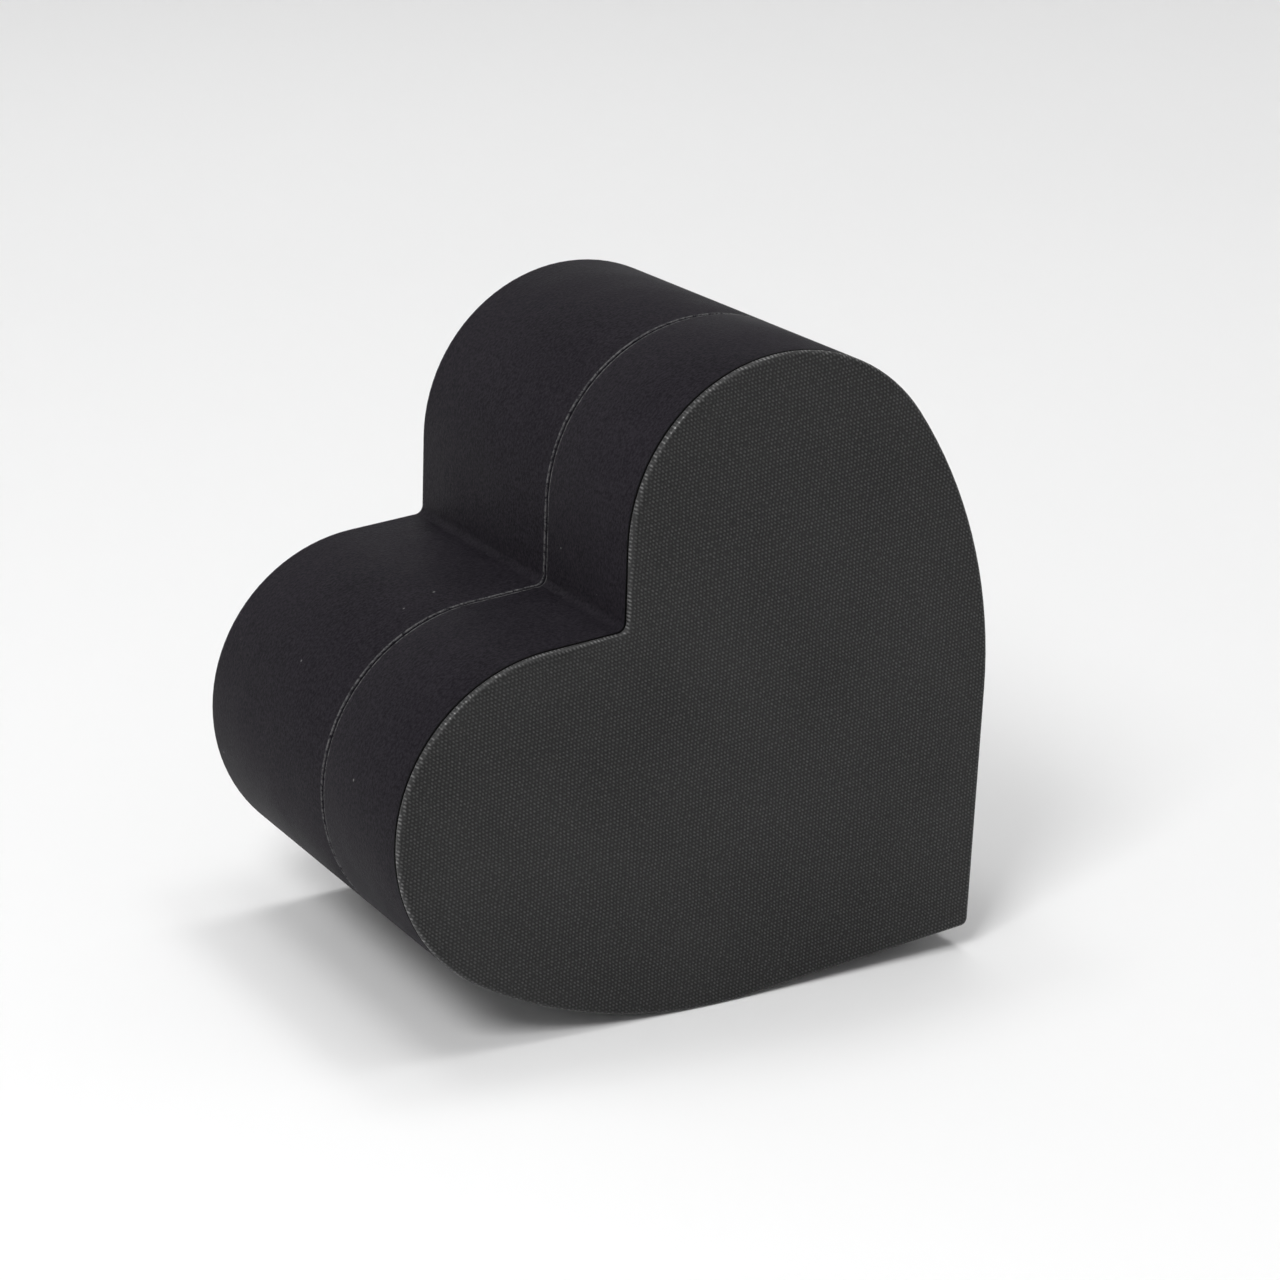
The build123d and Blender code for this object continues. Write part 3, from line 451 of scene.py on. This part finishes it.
# ---- the folded papers and the panel's cover ----

FOLD_RADIUS = 0.5 * MM
PANEL_FOLD_RADIUS = 0.3 * MM
MERGE_DISTANCE = 0.002 * MM
SAME_LEVEL = 0.02 * MM
LEAST_WALL = 1.0 * MM
SMOOTH_ANGLE = math.radians(32)

# How far in front of the joint the panel's cut back corner starts, at least and at most.
BACK_CORNER = (0.1 * MM, 0.25 * MM)


def only(piece):
    """Makes a piece the only thing selected, and the active one."""
    bpy.ops.object.select_all(action="DESELECT")
    bpy.context.view_layer.objects.active = piece
    piece.select_set(True)


def merged_copy(node, name):
    """A copy of a CAD node with its faces joined and its flats cleaned up."""
    piece = bpy.data.objects.new(name, frame["nodes"][node].data.copy())
    bpy.context.scene.collection.objects.link(piece)
    only(piece)
    bpy.ops.object.mode_set(mode="EDIT")
    bpy.ops.mesh.select_all(action="SELECT")
    bpy.ops.mesh.remove_doubles(threshold=MERGE_DISTANCE)
    bpy.ops.mesh.dissolve_limited(angle_limit=math.radians(0.5))
    bpy.ops.object.mode_set(mode="OBJECT")
    return piece


def depths_of(piece, item):
    """The levels of Y of an edge's or a face's corners."""
    return [piece.data.vertices[v].co.y for v in item.vertices]


def corner_edges(piece, level):
    """Edges on a level of Y where a wall, and not a thin turned-in edge, meets a flat face."""
    sides = {}
    for face in piece.data.polygons:
        depths = depths_of(piece, face)
        tall = max(depths) - min(depths)
        for key in face.edge_keys:
            sides.setdefault(key, []).append((abs(face.normal.y), tall))
    chosen = []
    for edge in piece.data.edges:
        if any(abs(depth - level) > SAME_LEVEL for depth in depths_of(piece, edge)):
            continue
        faces = sorted(sides.get(tuple(sorted(edge.vertices)), []))
        if len(faces) != 2:
            continue
        (wall_slope, wall_tall), (flat_slope, _) = faces
        if wall_slope < 0.3 and flat_slope > 0.9 and wall_tall > LEAST_WALL:
            chosen.append(edge)
    return chosen


def back_corner_edges(piece):
    """Edges that run round the panel where its side turns in to the joint."""
    nearest, furthest = BACK_CORNER
    return [
        edge
        for edge in piece.data.edges
        if all(JOINT - furthest < depth < JOINT - nearest for depth in depths_of(piece, edge))
    ]


def outermost(piece, edges):
    """The connected ring of the edges that reaches highest."""
    ring_of = {}
    for edge in edges:
        one, two = (ring_of.get(v, {v}) for v in edge.vertices)
        joined = one | two
        for v in joined:
            ring_of[v] = joined
    rings = {id(ring): ring for ring in ring_of.values()}
    best = max(rings.values(), key=lambda ring: max(piece.data.vertices[v].co.z for v in ring))
    return [edge for edge in edges if edge.vertices[0] in best]


def round_edges(piece, edges, radius, segments=4):
    """Rounds the given edges."""
    only(piece)
    for item in (*piece.data.polygons, *piece.data.edges, *piece.data.vertices):
        item.select = False
    for edge in edges:
        edge.select = True
        for v in edge.vertices:
            piece.data.vertices[v].select = True
    bpy.ops.object.mode_set(mode="EDIT")
    bpy.ops.mesh.select_mode(type="EDGE")
    bpy.ops.mesh.bevel(offset=radius, segments=segments, profile=0.5, affect="EDGES", clamp_overlap=True)
    bpy.ops.object.mode_set(mode="OBJECT")


def finish_piece(piece, node, body, finish):
    """Smooths a piece, dresses it and puts it in place of its CAD node."""
    only(piece)
    folded = piece.data.attributes.new("folded", "FLOAT", "POINT")
    folded.data.foreach_set("value", [1.0] * len(piece.data.vertices))
    bpy.ops.object.shade_smooth_by_angle(angle=SMOOTH_ANGLE)
    piece.data.materials.clear()
    piece.data.materials.append(finish)
    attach(piece, body)
    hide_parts(node)


def make_shell(finishes):
    """The box's outer covering, with soft folds at its rims and round the panel."""
    base = merged_copy("base_wall_paper", "base_paper_folded")
    round_edges(base, outermost(base, corner_edges(base, BASE_RIM)), FOLD_RADIUS)
    round_edges(base, corner_edges(base, UNDERSIDE), FOLD_RADIUS)
    finish_piece(base, "base_wall_paper", "base", finishes["wall_paper"])

    lid = merged_copy("lid_wall_paper", "lid_paper_folded")
    round_edges(lid, corner_edges(lid, LID_RIM), FOLD_RADIUS)
    round_edges(lid, outermost(lid, corner_edges(lid, JOINT)), PANEL_FOLD_RADIUS)
    finish_piece(lid, "lid_wall_paper", "lid", finishes["wall_paper"])

    panel = merged_copy("panel_linen_cover", "panel_cover_drawn")
    round_edges(panel, back_corner_edges(panel), PANEL_FOLD_RADIUS, 3)
    finish_piece(panel, "panel_linen_cover", "lid", finishes["linen_cover"])


# ---- floor, light and camera ----

# The floor's flat radius, the radius of its sweep up into the wall, and the wall's rise above that.
FLOOR_FLAT = 2.1
FLOOR_BEND = 0.9
FLOOR_RISE = 1.0

# Wall lights hang this high, this far from the middle, and aim at this point of the wall.
WALL_LIGHT_HEIGHT = 2.1
WALL_LIGHT_OUT = 0.5
WALL_AIM_OUT = 3.2
WALL_AIM_HEIGHT = 0.6
WALL_LIGHT_SIZE = 1.4

CAMERA_AZIMUTH = math.radians(-28.3)
CAMERA_ELEVATION = math.radians(18.36)
CAMERA_DISTANCE = 0.7747
CAMERA_LENS = 101.3
CAMERA_AIM = Vector((8.5, -5.4, -2.1)) * MM


def make_stage():
    """A plain pale floor that sweeps up into a wall all the way round."""
    bpy.ops.mesh.primitive_grid_add(x_subdivisions=96, y_subdivisions=40, size=1, location=(0, 0, 0))
    floor = bpy.context.object
    floor.name = "floor_sheet"
    sweep = math.pi / 2 * FLOOR_BEND
    for vertex in floor.data.vertices:
        angle = (vertex.co.x + 0.5) * 2 * math.pi
        along = (vertex.co.y + 0.5) * (FLOOR_FLAT + sweep + FLOOR_RISE)
        turn = min(max((along - FLOOR_FLAT) / FLOOR_BEND, 0.0), math.pi / 2)
        radius = min(along, FLOOR_FLAT) + math.sin(turn) * FLOOR_BEND
        vertex.co.x = radius * math.cos(angle)
        vertex.co.y = radius * math.sin(angle)
        vertex.co.z = (1 - math.cos(turn)) * FLOOR_BEND + max(along - FLOOR_FLAT - sweep, 0.0)
    bpy.ops.object.mode_set(mode="EDIT")
    bpy.ops.mesh.select_all(action="SELECT")
    bpy.ops.mesh.remove_doubles(threshold=MM)
    bpy.ops.mesh.normals_make_consistent(inside=True)
    bpy.ops.object.mode_set(mode="OBJECT")
    bpy.ops.object.shade_smooth()
    material, _, shader = new_material("floor_sheet", roughness=0.9, specular=0.1)
    shader.inputs["Base Color"].default_value = grey(0.90)
    floor.data.materials.append(material)


def soft_light(name, place, target, size, power):
    """A square soft light aimed at a point."""
    data = bpy.data.lights.new(name, "AREA")
    data.shape = "SQUARE"
    data.size = size
    data.energy = power
    lamp = bpy.data.objects.new(name, data)
    bpy.context.scene.collection.objects.link(lamp)
    lamp.location = place
    lamp.rotation_euler = (target - Vector(place)).to_track_quat("-Z", "Y").to_euler()


def make_light(centre):
    """A soft key from above left, a weak fill from the right, four wall lights and a pale room."""
    soft_light("key_light", (-0.72, -0.6, 0.98), centre, 0.42, 9.2)
    soft_light("side_light", (1.3, -0.6, 0.7), centre, 1.0, 0.7)
    walls = (("back", 0, 1, 27), ("front", 0, -1, 15), ("left", -1, 0, 13), ("right", 1, 0, 19))
    for name, x, y, power in walls:
        place = (WALL_LIGHT_OUT * x, WALL_LIGHT_OUT * y, WALL_LIGHT_HEIGHT)
        target = Vector((WALL_AIM_OUT * x, WALL_AIM_OUT * y, WALL_AIM_HEIGHT))
        soft_light(name + "_wall_light", place, target, WALL_LIGHT_SIZE, power)
    world = bpy.data.worlds.new("room")
    bpy.context.scene.world = world
    world.use_nodes = True
    room = world.node_tree.nodes["Background"]
    room.inputs["Color"].default_value = (1.0, 1.0, 1.0, 1)
    room.inputs["Strength"].default_value = 0.13


def make_camera(centre):
    """The viewing angle: left of the face and a little above, from most of a metre away."""
    back = Vector(
        (
            math.sin(CAMERA_AZIMUTH) * math.cos(CAMERA_ELEVATION),
            -math.cos(CAMERA_AZIMUTH) * math.cos(CAMERA_ELEVATION),
            math.sin(CAMERA_ELEVATION),
        )
    )
    data = bpy.data.cameras.new("view")
    data.lens = CAMERA_LENS
    camera = bpy.data.objects.new("view", data)
    bpy.context.scene.collection.objects.link(camera)
    camera.location = centre + CAMERA_AIM + back * CAMERA_DISTANCE
    camera.rotation_euler = (-back).to_track_quat("-Z", "Y").to_euler()
    bpy.context.scene.camera = camera


LOW, HIGH = (Vector(corner) for corner in CAD_BOUNDS)
CENTRE = (LOW + HIGH) / 2
bpy.ops.object.select_all(action="DESELECT")
FINISHES = make_finishes()
dress_nodes(FINISHES)
make_shell(FINISHES)
make_stage()
make_light(CENTRE)
make_camera(CENTRE)
bpy.context.scene.view_settings.view_transform = "Standard"
